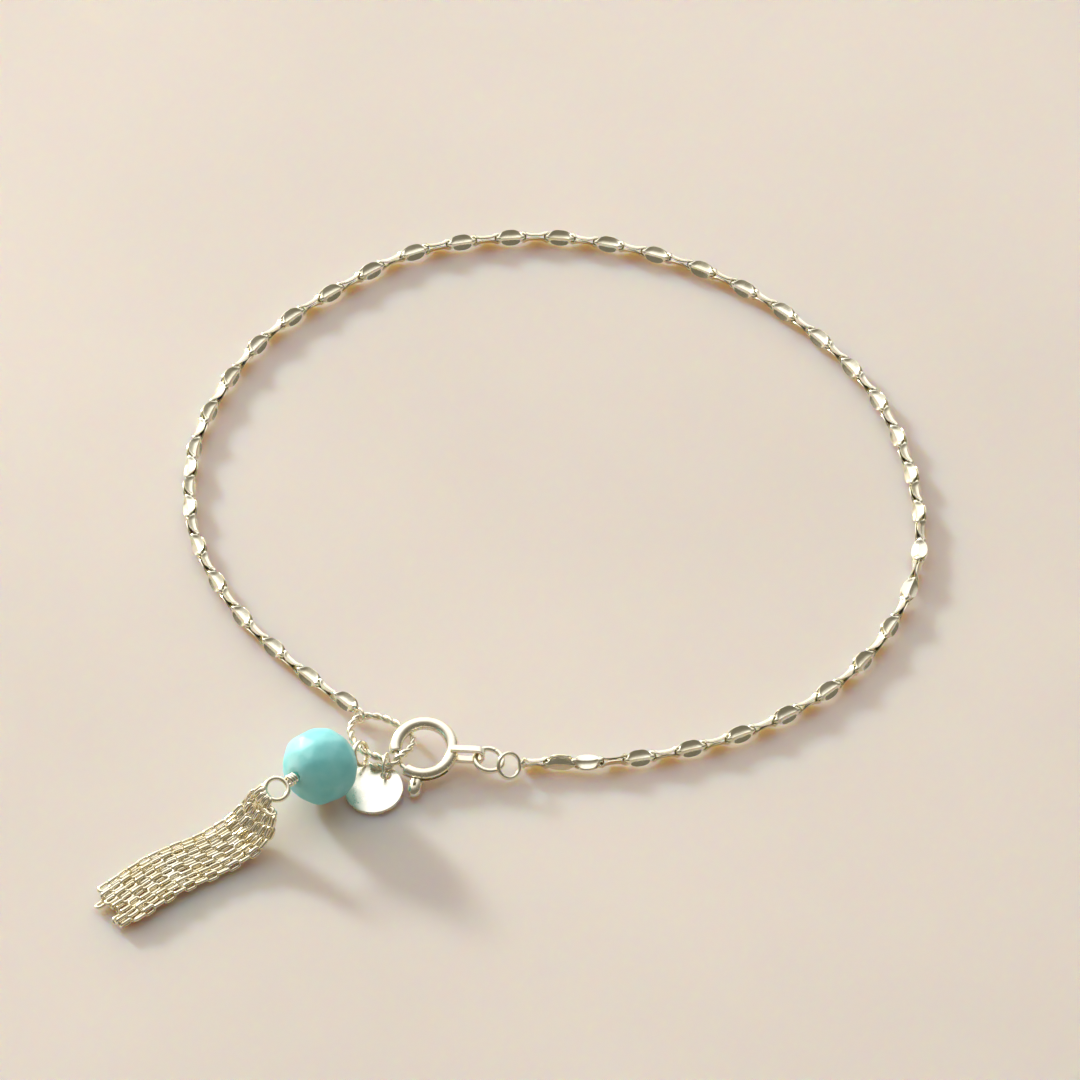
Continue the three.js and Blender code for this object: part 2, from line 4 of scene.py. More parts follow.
import bmesh
import bpy
import numpy as np
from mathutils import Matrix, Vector


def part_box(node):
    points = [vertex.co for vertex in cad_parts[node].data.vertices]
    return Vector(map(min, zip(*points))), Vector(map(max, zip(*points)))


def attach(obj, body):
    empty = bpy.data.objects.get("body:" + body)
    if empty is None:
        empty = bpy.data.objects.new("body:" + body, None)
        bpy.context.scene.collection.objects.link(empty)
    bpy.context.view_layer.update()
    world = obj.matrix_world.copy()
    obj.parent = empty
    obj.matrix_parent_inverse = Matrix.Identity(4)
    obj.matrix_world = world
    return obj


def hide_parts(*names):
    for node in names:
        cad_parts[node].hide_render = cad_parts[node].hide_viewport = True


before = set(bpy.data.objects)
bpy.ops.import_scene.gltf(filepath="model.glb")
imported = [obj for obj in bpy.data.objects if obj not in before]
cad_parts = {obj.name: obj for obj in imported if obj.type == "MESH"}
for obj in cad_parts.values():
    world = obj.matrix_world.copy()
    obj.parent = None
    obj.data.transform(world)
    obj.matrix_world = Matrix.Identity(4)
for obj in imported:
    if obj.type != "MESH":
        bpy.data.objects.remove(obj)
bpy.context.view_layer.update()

mm = 0.001
up = np.array([0.0, 0.0, 1.0])

# The disc tag's own place, which also says where the bracelet's millimetres lie in the frame.
discTag = {
    "centre": (-11.812, -23.408, 0.323),
    "normal": (-0.051, -0.082, 0.995),
    "radius": 2.1,
    "thickness": 0.32,
    "holeRadius": 0.4,
    "holeCentre": (-10.955, -22.352, 0.455),
    "edgeRounding": 0.07,
}
discLow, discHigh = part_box("disc_tag")
shift = np.array((discLow + discHigh) / 2) / mm - np.array(discTag["centre"])


# Directions and curves, all in the bracelet's millimetres

def unit(values):
    values = np.array(values, float)
    return values / np.linalg.norm(values)


def acrossOf(normal):
    # a unit vector close to +X, square to a direction
    return unit(np.array([1.0, 0.0, 0.0]) - normal * normal[0])


def turnedAbout(vector, axis, degrees):
    angle = math.radians(degrees)
    return (vector * math.cos(angle) + np.cross(axis, vector) * math.sin(angle)
            + axis * np.dot(axis, vector) * (1 - math.cos(angle)))


def smoothCurve(points, perSpan=40):
    # the centripetal Catmull-Rom curve through a row of points
    points = np.array(points, float)
    places = []
    for i in range(len(points) - 1):
        one, two = points[i], points[i + 1]
        before = points[i - 1] if i > 0 else 2 * points[0] - points[1]
        after = points[i + 2] if i + 2 < len(points) else 2 * points[-1] - points[-2]
        stepA = np.linalg.norm(one - before) ** 0.5
        stepB = np.linalg.norm(two - one) ** 0.5
        stepC = np.linalg.norm(after - two) ** 0.5
        slopeOne = ((one - before) / stepA - (two - before) / (stepA + stepB) + (two - one) / stepB) * stepB
        slopeTwo = ((two - one) / stepB - (after - one) / (stepB + stepC) + (after - two) / stepC) * stepB
        for k in range(perSpan):
            t = k / perSpan
            places.append((2 * t**3 - 3 * t**2 + 1) * one + (t**3 - 2 * t**2 + t) * slopeOne
                          + (3 * t**2 - 2 * t**3) * two + (t**3 - t**2) * slopeTwo)
    places.append(points[-1])
    return np.array(places)


def lengthsAlong(places):
    return np.concatenate([[0], np.cumsum(np.linalg.norm(np.diff(places, axis=0), axis=1))])


def placesAt(places, wanted):
    # the places at given lengths along a row of close points
    lengths = lengthsAlong(places)
    return np.stack([np.interp(wanted, lengths, places[:, k]) for k in range(3)], axis=1)


def directions(places, closed=False):
    if closed:
        ways = np.roll(places, -1, axis=0) - np.roll(places, 1, axis=0)
    else:
        ways = np.gradient(places, axis=0)
    return ways / np.linalg.norm(ways, axis=1)[:, None]


def carriedFrames(places, start=None, closed=False):
    # a pair of directions square to the way, carried along without turning
    ways = directions(places, closed)
    right = np.array(start if start is not None else acrossOf(ways[0]), float)
    rights, tops = [], []
    for way in ways:
        right = unit(right - way * np.dot(right, way))
        rights.append(right)
        tops.append(np.cross(way, right))
    return np.array(rights), np.array(tops)


# Shapes are pairs of points and faces

def loft(sections, closed=False, caps=True):
    # a skin through a row of sections with equally many points
    rows, sides = len(sections), len(sections[0])
    faces = []
    for row in range(rows if closed else rows - 1):
        below, above = row * sides, (row + 1) % rows * sides
        for side in range(sides):
            beside = (side + 1) % sides
            faces.append((below + side, below + beside, above + beside, above + side))
    if not closed and caps:
        faces.append(tuple(range(sides))[::-1])
        faces.append(tuple((rows - 1) * sides + side for side in range(sides)))
    return np.array(sections, float).reshape(-1, 3), faces


def wire(places, radii, sides=12, closed=False, start=None, rounded=True):
    # a round wire along a row of places; its free ends are rounded over
    places = np.array(places, float)
    radii = np.full(len(places), radii, float) if np.isscalar(radii) else np.array(radii, float)
    if rounded and not closed:
        ways = directions(places)
        endSteps = [math.radians(a) for a in (78, 50, 25)]
        head = [places[0] - ways[0] * radii[0] * 0.6 * math.sin(a) for a in endSteps]
        tail = [places[-1] + ways[-1] * radii[-1] * 0.6 * math.sin(a) for a in endSteps[::-1]]
        places = np.concatenate([head, places, tail])
        radii = np.concatenate([[radii[0] * math.cos(a) for a in endSteps], radii,
                                [radii[-1] * math.cos(a) for a in endSteps[::-1]]])
    rights, tops = carriedFrames(places, start, closed)
    angles = 2 * math.pi * np.arange(sides) / sides
    ring = np.stack([np.cos(angles), np.sin(angles)], axis=1)
    sections = (places[:, None] + (ring[None, :, :1] * rights[:, None] + ring[None, :, 1:] * tops[:, None])
                * radii[:, None, None])
    return loft(sections, closed)


def onCircle(ring, degrees):
    normal = unit(ring["normal"])
    x = acrossOf(normal)
    y = np.cross(normal, x)
    angle = math.radians(degrees)
    return np.array(ring["centre"]) + ring["radius"] * (x * math.cos(angle) + y * math.sin(angle))


def ringShape(ring, steps=72, sides=16):
    places = np.array([onCircle(ring, 360 * i / steps) for i in range(steps)])
    return wire(places, ring["wire"], sides, closed=True, start=unit(ring["normal"]))


def jumpRingShape(ring, seamAt, seam=1.6, steps=72, sides=16):
    # a ring of round wire whose two cut ends meet at a hairline seam
    places = np.array([onCircle(ring, seamAt + seam / 2 + (360 - seam) * i / steps) for i in range(steps + 1)])
    radii = np.full(len(places), ring["wire"])
    radii[0] = radii[-1] = ring["wire"] * 0.9
    return wire(places, radii, sides, start=unit(ring["normal"]), rounded=False)


def joined(shapes):
    points, faces, offset = [], [], 0
    for shapePoints, shapeFaces in shapes:
        points.append(shapePoints)
        faces += [tuple(index + offset for index in face) for face in shapeFaces]
        offset += len(shapePoints)
    return np.concatenate(points), faces


def meshObject(name, shape):
    points, faces = shape
    mesh = bpy.data.meshes.new(name)
    mesh.from_pydata(((points + shift) * mm).tolist(), [], faces)
    mesh.validate()
    mesh.update()
    piece = bpy.data.objects.new(name, mesh)
    bpy.context.scene.collection.objects.link(piece)
    return piece


def outwardFaces(piece):
    # every closed part of a mesh gets its faces turned outwards
    work = bmesh.new()
    work.from_mesh(piece.data)
    bmesh.ops.recalc_face_normals(work, faces=work.faces)
    work.to_mesh(piece.data)
    work.free()


def smoothed(piece, sharpAbove=40):
    piece.data.shade_smooth()
    piece.data.set_sharp_from_angle(angle=math.radians(sharpAbove))


def applied(piece):
    # modifiers become the mesh
    bpy.context.view_layer.update()
    finished = bpy.data.meshes.new_from_object(piece.evaluated_get(bpy.context.evaluated_depsgraph_get()))
    piece.modifiers.clear()
    piece.data = finished


def cutBy(piece, tool):
    cutter = piece.modifiers.new("cut", "BOOLEAN")
    cutter.operation = "DIFFERENCE"
    cutter.solver = "EXACT"
    cutter.object = tool
    applied(piece)
    bpy.data.objects.remove(tool)


def finishedPiece(piece, node, body, material, sharpAbove=40):
    smoothed(piece, sharpAbove)
    piece.data.materials.clear()
    piece.data.materials.append(material)
    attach(piece, body)
    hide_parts(node)
    return piece


def newPiece(name, shape, node, body, material, sharpAbove=40):
    piece = meshObject(name, shape)
    outwardFaces(piece)
    return finishedPiece(piece, node, body, material, sharpAbove)


# Finishes

def nodeTree(name):
    material = bpy.data.materials.new(name)
    material.use_nodes = True
    tree = material.node_tree
    shader = tree.nodes["Principled BSDF"]
    return material, tree, shader


def noiseAt(tree, perMm, detail):
    place = tree.nodes.new("ShaderNodeTexCoord")
    scaled = tree.nodes.new("ShaderNodeMapping")
    scaled.inputs["Scale"].default_value = [perMm / mm] * 3
    noise = tree.nodes.new("ShaderNodeTexNoise")
    noise.inputs["Scale"].default_value = 1.0
    noise.inputs["Detail"].default_value = detail
    tree.links.new(place.outputs["Object"], scaled.inputs["Vector"])
    tree.links.new(scaled.outputs["Vector"], noise.inputs["Vector"])
    return noise


def ramp(tree, source, stops):
    colours = tree.nodes.new("ShaderNodeValToRGB")
    elements = colours.color_ramp.elements
    while len(elements) < len(stops):
        elements.new(0.5)
    for element, (place, colour) in zip(elements, stops):
        element.position = place
        element.color = (*colour, 1)
    tree.links.new(source, colours.inputs["Fac"])
    return colours


def rangeOf(tree, source, low, high):
    mapped = tree.nodes.new("ShaderNodeMapRange")
    mapped.inputs["From Min"].default_value = 0.3
    mapped.inputs["From Max"].default_value = 0.7
    mapped.inputs["To Min"].default_value = low
    mapped.inputs["To Max"].default_value = high
    tree.links.new(source, mapped.inputs["Value"])
    return mapped.outputs["Result"]


def bumpFrom(tree, shader, source, strength, depthMm):
    bump = tree.nodes.new("ShaderNodeBump")
    bump.inputs["Strength"].default_value = strength
    bump.inputs["Distance"].default_value = depthMm * mm
    tree.links.new(source, bump.inputs["Height"])
    tree.links.new(bump.outputs["Normal"], shader.inputs["Normal"])


def paleGold(name, look):
    # polished pale gold: cloudy tint, worn roughness and a fine hand-polish ripple
    material, tree, shader = nodeTree(name)
    shader.inputs["Metallic"].default_value = 1.0
    tint = noiseAt(tree, look["tintPerMm"], 3)
    colours = ramp(tree, tint.outputs["Fac"], [(0.3, look["deepTint"]), (0.7, look["paleTint"])])
    tree.links.new(colours.outputs["Color"], shader.inputs["Base Color"])
    wear = noiseAt(tree, look["wearPerMm"], 4)
    tree.links.new(rangeOf(tree, wear.outputs["Fac"], look["smoothest"], look["roughest"]),
                   shader.inputs["Roughness"])
    ripple = noiseAt(tree, look["ripplePerMm"], 2)
    bumpFrom(tree, shader, ripple.outputs["Fac"], look["rippleStrength"], look["rippleDepth"])
    return material


chainGoldLook = {
    "paleTint": (0.91, 0.88, 0.75), "deepTint": (0.84, 0.79, 0.60), "tintPerMm": 0.8,
    "smoothest": 0.10, "roughest": 0.26, "wearPerMm": 6,
    "ripplePerMm": 5, "rippleStrength": 0.35, "rippleDepth": 0.02,
}
claspGoldLook = {
    "paleTint": (0.94, 0.90, 0.78), "deepTint": (0.87, 0.80, 0.61), "tintPerMm": 0.5,
    "smoothest": 0.14, "roughest": 0.30, "wearPerMm": 4,
    "ripplePerMm": 3, "rippleStrength": 0.2, "rippleDepth": 0.015,
}
tasselGoldLook = {
    "paleTint": (0.96, 0.92, 0.79), "deepTint": (0.87, 0.77, 0.52), "tintPerMm": 0.9,
    "smoothest": 0.08, "roughest": 0.22, "wearPerMm": 6,
    "ripplePerMm": 6, "rippleStrength": 0.2, "rippleDepth": 0.01,
}
discGoldLook = {
    "paleTint": (0.95, 0.92, 0.83), "deepTint": (0.90, 0.86, 0.73), "tintPerMm": 0.4,
    "smoothest": 0.22, "roughest": 0.38, "wearPerMm": 3,
    "ripplePerMm": 0.8, "rippleStrength": 0.05, "rippleDepth": 0.02,
}
beadStoneLook = {
    "milky": (0.31, 0.77, 0.78), "deep": (0.22, 0.68, 0.695), "veil": (0.45, 0.85, 0.86),
    "cloudsPerMm": 0.4, "roughness": 0.42, "scatter": 0.6, "scatterRadii": (1.4, 2.4, 2.4),
    "through": 0.1, "index": 1.5,
    "polishPerMm": 2.5, "polishStrength": 0.12, "polishDepth": 0.02,
}


def seaStone(name, look):
    # milky translucent stone with soft clouds
    material, tree, shader = nodeTree(name)
    clouds = noiseAt(tree, look["cloudsPerMm"], 4)
    colours = ramp(tree, clouds.outputs["Fac"],
                   [(0.32, look["deep"]), (0.52, look["milky"]), (0.72, look["veil"])])
    tree.links.new(colours.outputs["Color"], shader.inputs["Base Color"])
    shader.inputs["Roughness"].default_value = look["roughness"]
    shader.inputs["IOR"].default_value = look["index"]
    shader.inputs["Subsurface Weight"].default_value = look["scatter"]
    shader.inputs["Subsurface Radius"].default_value = look["scatterRadii"]
    shader.inputs["Subsurface Scale"].default_value = 1 * mm
    shader.inputs["Transmission Weight"].default_value = look["through"]
    polish = noiseAt(tree, look["polishPerMm"], 2)
    bumpFrom(tree, shader, polish.outputs["Fac"], look["polishStrength"], look["polishDepth"])
    return material


chainGold = paleGold("chainGold", chainGoldLook)
claspGold = paleGold("claspGold", claspGoldLook)
tasselGold = paleGold("tasselGold", tasselGoldLook)
discGold = paleGold("discGold", discGoldLook)
beadStone = seaStone("beadStone", beadStoneLook)
print("finishes made")


# Petal chain

petalChain = {
    "linkCount": 80,
    "route": [
        (-0.43, -21.18), (5.06, -21.09), (14.24, -18.64), (21.98, -13.4), (26.73, -5.74),
        (27.94, 1.5), (25.58, 12.43), (20.05, 20.44), (12.3, 26.35), (3.51, 29.34),
        (-2.14, 29.65), (-9.36, 28.2), (-14.18, 25.22), (-20.99, 19.03), (-25.08, 10.75),
        (-25.86, 5.27), (-25.15, -0.52), (-21.8, -7.44), (-17.83, -12.11), (-13.87, -15.98),
    ],
    "lean": [(1, 45), (2, 20), (3, -5), (5, -45), (17, -45), (23, 45), (80, 45)],
    "lift": [(1, 0.01), (77, 0.01), (79, 0.11), (80, 0.48)],
    "leafHalfWidth": 0.59,  # half a leaf's width and thickness, which set how high a tilted link lies
    "leafThickness": 0.171,
    "tipClearance": 0.008,
    "outerEyeRise": 0.37,
    "firstRingWay": (0, 0.766, 0.643),  # the way the chain end ring's wire runs through the first eye
    "eyeReach": 0.03,
    "turnFrom": 0.5,  # an outer eye turns towards its ring from here to the link's end
    "turnOver": 0.35,
    "looseness": 4,  # degrees that a link may roll in its neighbours
    "steps": 52,
    "sides": 24,
    "seed": 11,
}
# A quarter of a link's wire, from its waist to the tip of an eye: how far along, how far off the
# middle plane, half its width and thickness, and how flat it is pressed.
petalWire = [
    {"along": 0.00, "rise": 0.115, "halfWidth": 0.595, "halfDepth": 0.16, "press": 1.0},
    {"along": 0.28, "rise": 0.120, "halfWidth": 0.58, "halfDepth": 0.16, "press": 1.0},
    {"along": 0.52, "rise": 0.155, "halfWidth": 0.50, "halfDepth": 0.155, "press": 1.0},
    {"along": 0.72, "rise": 0.235, "halfWidth": 0.37, "halfDepth": 0.15, "press": 0.8},
    {"along": 0.89, "rise": 0.300, "halfWidth": 0.20, "halfDepth": 0.15, "press": 0.2},
    {"along": 1.045, "rise": 0.190, "halfWidth": 0.15, "halfDepth": 0.15, "press": 0.0},
]
petalTip = {"along": 1.09, "rise": 0.0, "halfWidth": 0.15, "halfDepth": 0.15, "press": 0.0}
eyeShoulder = petalWire[4]["rise"]
# The pressed wire's section: sloping lobes and a narrow rib outside, nearly flat inside.
petalSection = {"lobes": 0.42, "rib": 0.58, "ribWidth": 0.2, "back": 0.55, "backPower": 0.35}


def valueAt(rows, link):
    return float(np.interp(link, [row[0] for row in rows], [row[1] for row in rows]))


def linkFrames(chain):
    route = smoothCurve([(x, y, 0) for x, y in chain["route"]], 60)
    total = lengthsAlong(route)[-1]
    pitch = total / (chain["linkCount"] - 1)
    middles = placesAt(route, np.arange(chain["linkCount"]) * pitch)
    near = 0.02
    ahead = placesAt(route, np.arange(chain["linkCount"]) * pitch + near)
    behind = placesAt(route, np.arange(chain["linkCount"]) * pitch - near)
    links = []
    for i in range(chain["linkCount"]):
        along = unit(ahead[i] - behind[i])
        inward = np.cross(up, along)
        lean = valueAt(chain["lean"], i + 1) - (90 if i % 2 else 0)
        angle = math.radians(lean)
        upright, flat = abs(math.sin(angle)), abs(math.cos(angle))
        middle = middles[i] + up * (chain["leafHalfWidth"] * max(upright, flat)
                                    + chain["leafThickness"] * min(upright, flat)
                                    + valueAt(chain["lift"], i + 1))
        face = up * math.cos(angle) + inward * math.sin(angle)
        links.append({"middle": middle, "along": along, "face": face,
                      "wide": np.cross(face, along), "halfPitch": pitch / 2})
    return links


def petalLoop(halfPitch, tipClearance, riseStart, riseEnd, steps):
    # the whole loop of wire as rows: along, rise, half width, half depth, press
    tip = halfPitch + petalTip["halfDepth"] + tipClearance
    keys = ("rise", "halfWidth", "halfDepth", "press")
    quarter = [[row["along"] * tip / petalTip["along"]] + [row[k] for k in keys] for row in petalWire]
    last = [tip] + [petalTip[k] for k in keys]
    loop = []
    for way, side, rows in ((1, 1, quarter), (1, 0, [last]), (1, -1, quarter[:0:-1]),
                            (-1, -1, quarter), (-1, 0, [last]), (-1, 1, quarter[:0:-1])):
        eyeRise = riseEnd if way > 0 else riseStart
        for row in rows:
            widened = row[1] + (eyeRise - eyeShoulder) * row[1] / eyeShoulder * (1 - row[4])
            loop.append([way * row[0], side * widened, *row[2:]])
    loop = np.array(loop)
    count = len(loop)
    rows = []
    for step in range(steps):
        spot = step * count / steps
        i = int(spot)
        t = spot - i
        p0, p1, p2, p3 = (loop[(i + k) % count] for k in (-1, 0, 1, 2))
        rows.append(0.5 * (2 * p1 + (p2 - p0) * t + (2 * p0 - 5 * p1 + 4 * p2 - p3) * t**2
                           + (3 * p1 - p0 - 3 * p2 + p3) * t**3))
    return np.array(rows)


def petalLink(frameOf, chain, turnStart=0, turnEnd=0):
    rows = petalLoop(frameOf["halfPitch"], chain["tipClearance"],
                     chain["outerEyeRise"] if turnStart else eyeShoulder,
                     chain["outerEyeRise"] if turnEnd else eyeShoulder, chain["steps"])
    ways = np.roll(rows[:, :2], -1, axis=0) - np.roll(rows[:, :2], 1, axis=0)
    ways /= np.linalg.norm(ways, axis=1)[:, None]
    sections = []
    for row, way in zip(rows, ways):
        along, rise, halfWidth, halfDepth, press = row
        press = min(max(press, 0), 1)
        out = np.array([-way[1], way[0]])
        if out @ np.array([along * 0.2, rise]) < 0:
            out = -out
        turnShare = min(max((abs(along) - chain["turnFrom"]) / chain["turnOver"], 0), 1)
        turn = (turnEnd if along > 0 else turnStart) * turnShare
        face = turnedAbout(frameOf["face"], frameOf["along"], turn)
        wide = turnedAbout(frameOf["wide"], frameOf["along"], turn)
        section = []
        for side in range(chain["sides"]):
            angle = 2 * math.pi * side / chain["sides"]
            c, s = math.cos(angle), math.sin(angle)
            if s >= 0:  # outside: a rib along the middle between two sloping lobes
                pressed = (petalSection["lobes"] * (1 - abs(c))
                           + petalSection["rib"] * math.exp(-(c / petalSection["ribWidth"]) ** 2))
            else:  # inside: nearly flat, where the two leaves lie back to back
                pressed = -petalSection["back"] * abs(s) ** petalSection["backPower"]
            deep = halfDepth * (s * (1 - press) + pressed * press)
            section.append(frameOf["middle"] + frameOf["along"] * (along + out[0] * deep)
                           + face * (rise + out[1] * deep) + wide * halfWidth * c)
        sections.append(section)
    return loft(sections, closed=True)


def turnTowards(frameOf, wireWay):
    # the turn about a link's length that points its end's hole along a ring's wire
    angle = math.degrees(math.atan2(np.dot(wireWay, frameOf["face"]), np.dot(wireWay, frameOf["wide"])))
    return ((-angle + 90) % 180) - 90


endLoop = {"centre": (-12.93, -17.2, 0.93), "normal": (-0.8, -0.5, 0.33), "radius": 0.52, "wire": 0.1}
chainEndRing = {"centre": (-2.2, -21.845, 1.047), "normal": (0.526, -0.547, 0.652), "radius": 0.89,
                "wire": 0.14}


def buildPetalChain(chain):
    chance = random.Random(chain["seed"])
    links = linkFrames(chain)
    shapes = []
    for i, frameOf in enumerate(links):
        turnStart = turnEnd = 0
        if i == 0:
            turnStart = turnTowards(frameOf, unit(chain["firstRingWay"]))
        elif i == len(links) - 1:
            tip = frameOf["middle"] + frameOf["along"] * (frameOf["halfPitch"] + chain["eyeReach"])
            loopWay = np.cross(unit(endLoop["normal"]), tip - np.array(endLoop["centre"]))
            turnEnd = turnTowards(frameOf, unit(loopWay))
        else:
            roll = chance.uniform(-1, 1) * chain["looseness"]
            frameOf["face"] = turnedAbout(frameOf["face"], frameOf["along"], roll)
            frameOf["wide"] = turnedAbout(frameOf["wide"], frameOf["along"], roll)
        shapes.append(petalLink(frameOf, chain, turnStart, turnEnd))
    return newPiece("petalChainLinks", joined(shapes), "petal_chain", "bracelet", chainGold, 50)


buildPetalChain(petalChain)
newPiece("endLoopRing", jumpRingShape(endLoop, 100, steps=48), "end_loop", "bracelet", tasselGold)
newPiece("chainEndJumpRing", jumpRingShape(chainEndRing, 200), "chain_end_ring", "bracelet", chainGold)
print("petal chain made")


# Spring ring: tube, bolt and folded strap

claspRing = {
    "centre": (-8.27, -20.43, 1.2),
    "normal": (-0.033, -0.209, 0.977),
    "radius": 2.03,
    "tubeRadius": 0.475,
    "boreRadius": 0.245,
    "gapFrom": 187,
    "gapTo": 231.6,
    "rimRounding": 0.06,
    "pocketDegrees": 10,
    "boltRadius": 0.17,
    "borePast": 8,  # degrees that the bore goes on past the knob's last place
    "boltTip": 181,
    "boltTipInset": 2.5,
    "boltHeel": 263,
    "knobAngle": 258.3,
    "knobSwing": 49,
    "knobRadius": 0.52,
    "knobLength": 1.35,
    "knobStraight": 0.65,
    "knobSlit": 0.22,
    "knobSlitLength": 0.72,
    "knobSlitRise": 0.2,
    "knobSlitHalfDepth": 0.4,
    "knobGap": 0.05,
    "stemRadius": 0.12,
    "stemPastTube": 0.25,
    "slotHalfWidth": 0.19,
    "slotPastTube": 0.2,
    "slotBefore": 7,  # degrees before the knob's first place and past its last
    "slotPast": 6,
}
strapTag = {
    "angle": -4.0,
    "axisPoint": (-8.293, -20.725, 1.162),
    "roll": 14.9,
    "halfGap": 0.47,
    "thickness": 0.26,
    "width": 0.65,
    "topStart": 1.95,
    "foldCentre": 3.8,
    "foldLead": 0.3,
    "lowerEnd": 2.35,
    "cornerRounding": 0.05,
}


def claspWay(clasp, degrees):
    normal = unit(clasp["normal"])
    x = acrossOf(normal)
    angle = math.radians(degrees)
    return x * math.cos(angle) + np.cross(normal, x) * math.sin(angle)


def claspSection(clasp, degrees, radius, sides=32):
    outward = claspWay(clasp, degrees)
    centre = np.array(clasp["centre"]) + outward * clasp["radius"]
    angles = 2 * math.pi * np.arange(sides) / sides
    return centre + radius * (np.cos(angles)[:, None] * outward + np.sin(angles)[:, None] * unit(clasp["normal"]))


def claspTube(clasp):
    # one skin: out of the bore at the gap's far end, round the ring and into the pocket
    outer, bore, rounding = clasp["tubeRadius"], clasp["boreRadius"], clasp["rimRounding"]
    perDegree = math.radians(1) * clasp["radius"]
    soft = rounding / perDegree
    start, end = clasp["gapTo"], clasp["gapFrom"] + 360
    boreEnd = clasp["knobAngle"] + clasp["knobSwing"] + clasp["borePast"]
    rows = [(boreEnd, 0.02), (boreEnd, bore)]
    rows += [(angle, bore) for angle in np.linspace(boreEnd - 6, start + 3, 12)]
    rows += [(start + soft * 0.6, bore), (start, bore + rounding * 0.6), (start, outer - rounding)]
    rows += [(start + soft * 0.3, outer - rounding * 0.3), (start + soft, outer)]
    rows += [(angle, outer) for angle in np.linspace(start + 4, end - 4, 78)]
    rows += [(end - soft, outer), (end - soft * 0.3, outer - rounding * 0.3), (end, outer - rounding)]
    rows += [(end, bore + rounding * 0.6), (end - soft * 0.6, bore)]
    rows += [(end - clasp["pocketDegrees"], bore), (end - clasp["pocketDegrees"], 0.02)]
    return loft([claspSection(clasp, angle, radius) for angle, radius in rows])


def outerSlot(clasp):
    # the slot that the knob's stem runs in, on the outer side of the tube
    high = clasp["slotHalfWidth"]
    far = clasp["tubeRadius"] + clasp["slotPastTube"]
    sections = []
    first = clasp["knobAngle"] - clasp["slotBefore"]
    last = clasp["knobAngle"] + clasp["knobSwing"] + clasp["slotPast"]
    for angle in np.linspace(first, last, 24):
        outward = claspWay(clasp, angle)
        centre = np.array(clasp["centre"]) + outward * clasp["radius"]
        sections.append([centre + outward * out + unit(clasp["normal"]) * side
                         for out, side in ((0, -high), (far, -high), (far, high), (0, high))])
    return loft(sections)


def roundedStrip(halfWidth, halfThickness, rounding, perCorner=4):
    # the outline of a flat strip with rounded corners: across, through
    outline = []
    for corner in range(4):
        signX = 1 if corner in (0, 3) else -1
        signY = 1 if corner < 2 else -1
        for i in range(perCorner):
            angle = math.pi / 2 * (corner + i / (perCorner - 1))
            outline.append((signX * (halfWidth - rounding) + rounding * math.cos(angle),
                            signY * (halfThickness - rounding) + rounding * math.sin(angle)))
    return outline


def strapShape(clasp, strap):
    along = claspWay(clasp, strap["angle"])
    roll = math.radians(strap["roll"])
    apart = np.array([0, math.sin(roll), math.cos(roll)])
    apart = unit(apart - along * np.dot(apart, along))
    wide = np.cross(apart, along)
    path = [(strap["topStart"], 1, (0, 1)), (strap["foldCentre"] - strap["foldLead"], 1, (0, 1))]
    for i in range(17):
        angle = math.pi / 2 - math.pi * i / 16
        out = (math.cos(angle), math.sin(angle))
        path.append((strap["foldCentre"] + strap["halfGap"] * out[0], out[1], out))
    path += [(strap["foldCentre"] - strap["foldLead"], -1, (0, -1)), (strap["lowerEnd"], -1, (0, -1))]
    outline = roundedStrip(strap["width"] / 2, strap["thickness"] / 2, strap["cornerRounding"])
    return loft([[np.array(strap["axisPoint"]) + along * (place + out[0] * through)
                  + apart * (side * strap["halfGap"] + out[1] * through) + wide * width
                  for width, through in outline] for place, side, out in path])


def turnedShape(start, way, rows, sides=32):
    # a round piece turned about a line: how far along it, and the radius there
    right = acrossOf(way) if abs(way[0]) < 0.9 else unit(np.cross(way, up))
    top = np.cross(way, right)
    angles = 2 * math.pi * np.arange(sides) / sides
    circle = np.cos(angles)[:, None] * right + np.sin(angles)[:, None] * top
    return loft([start + way * along + circle * radius for along, radius in rows])


def blockShape(centre, halfX, halfY, halfZ):
    # a block from its centre and three half-length vectors
    corners = [centre + x * halfX + y * halfY + z * halfZ
               for z in (-1, 1) for x, y in ((-1, -1), (1, -1), (1, 1), (-1, 1))]
    return loft([corners[:4], corners[4:]])


def knobProfile(clasp):
    start = clasp["tubeRadius"] + clasp["knobGap"]
    radius, length = clasp["knobRadius"], clasp["knobLength"]
    rows = [(start, radius * 0.6), (start + 0.02, radius * 0.78), (start + 0.08, radius * 0.93),
            (start + 0.16, radius)]
    straight = clasp["knobStraight"]
    rows.append((start + straight, radius))
    for i in range(1, 9):
        angle = math.pi / 2 * i / 8
        rows.append((start + straight + (length - straight) * math.sin(angle),
                     max(radius * math.cos(angle), 0.02)))
    return rows


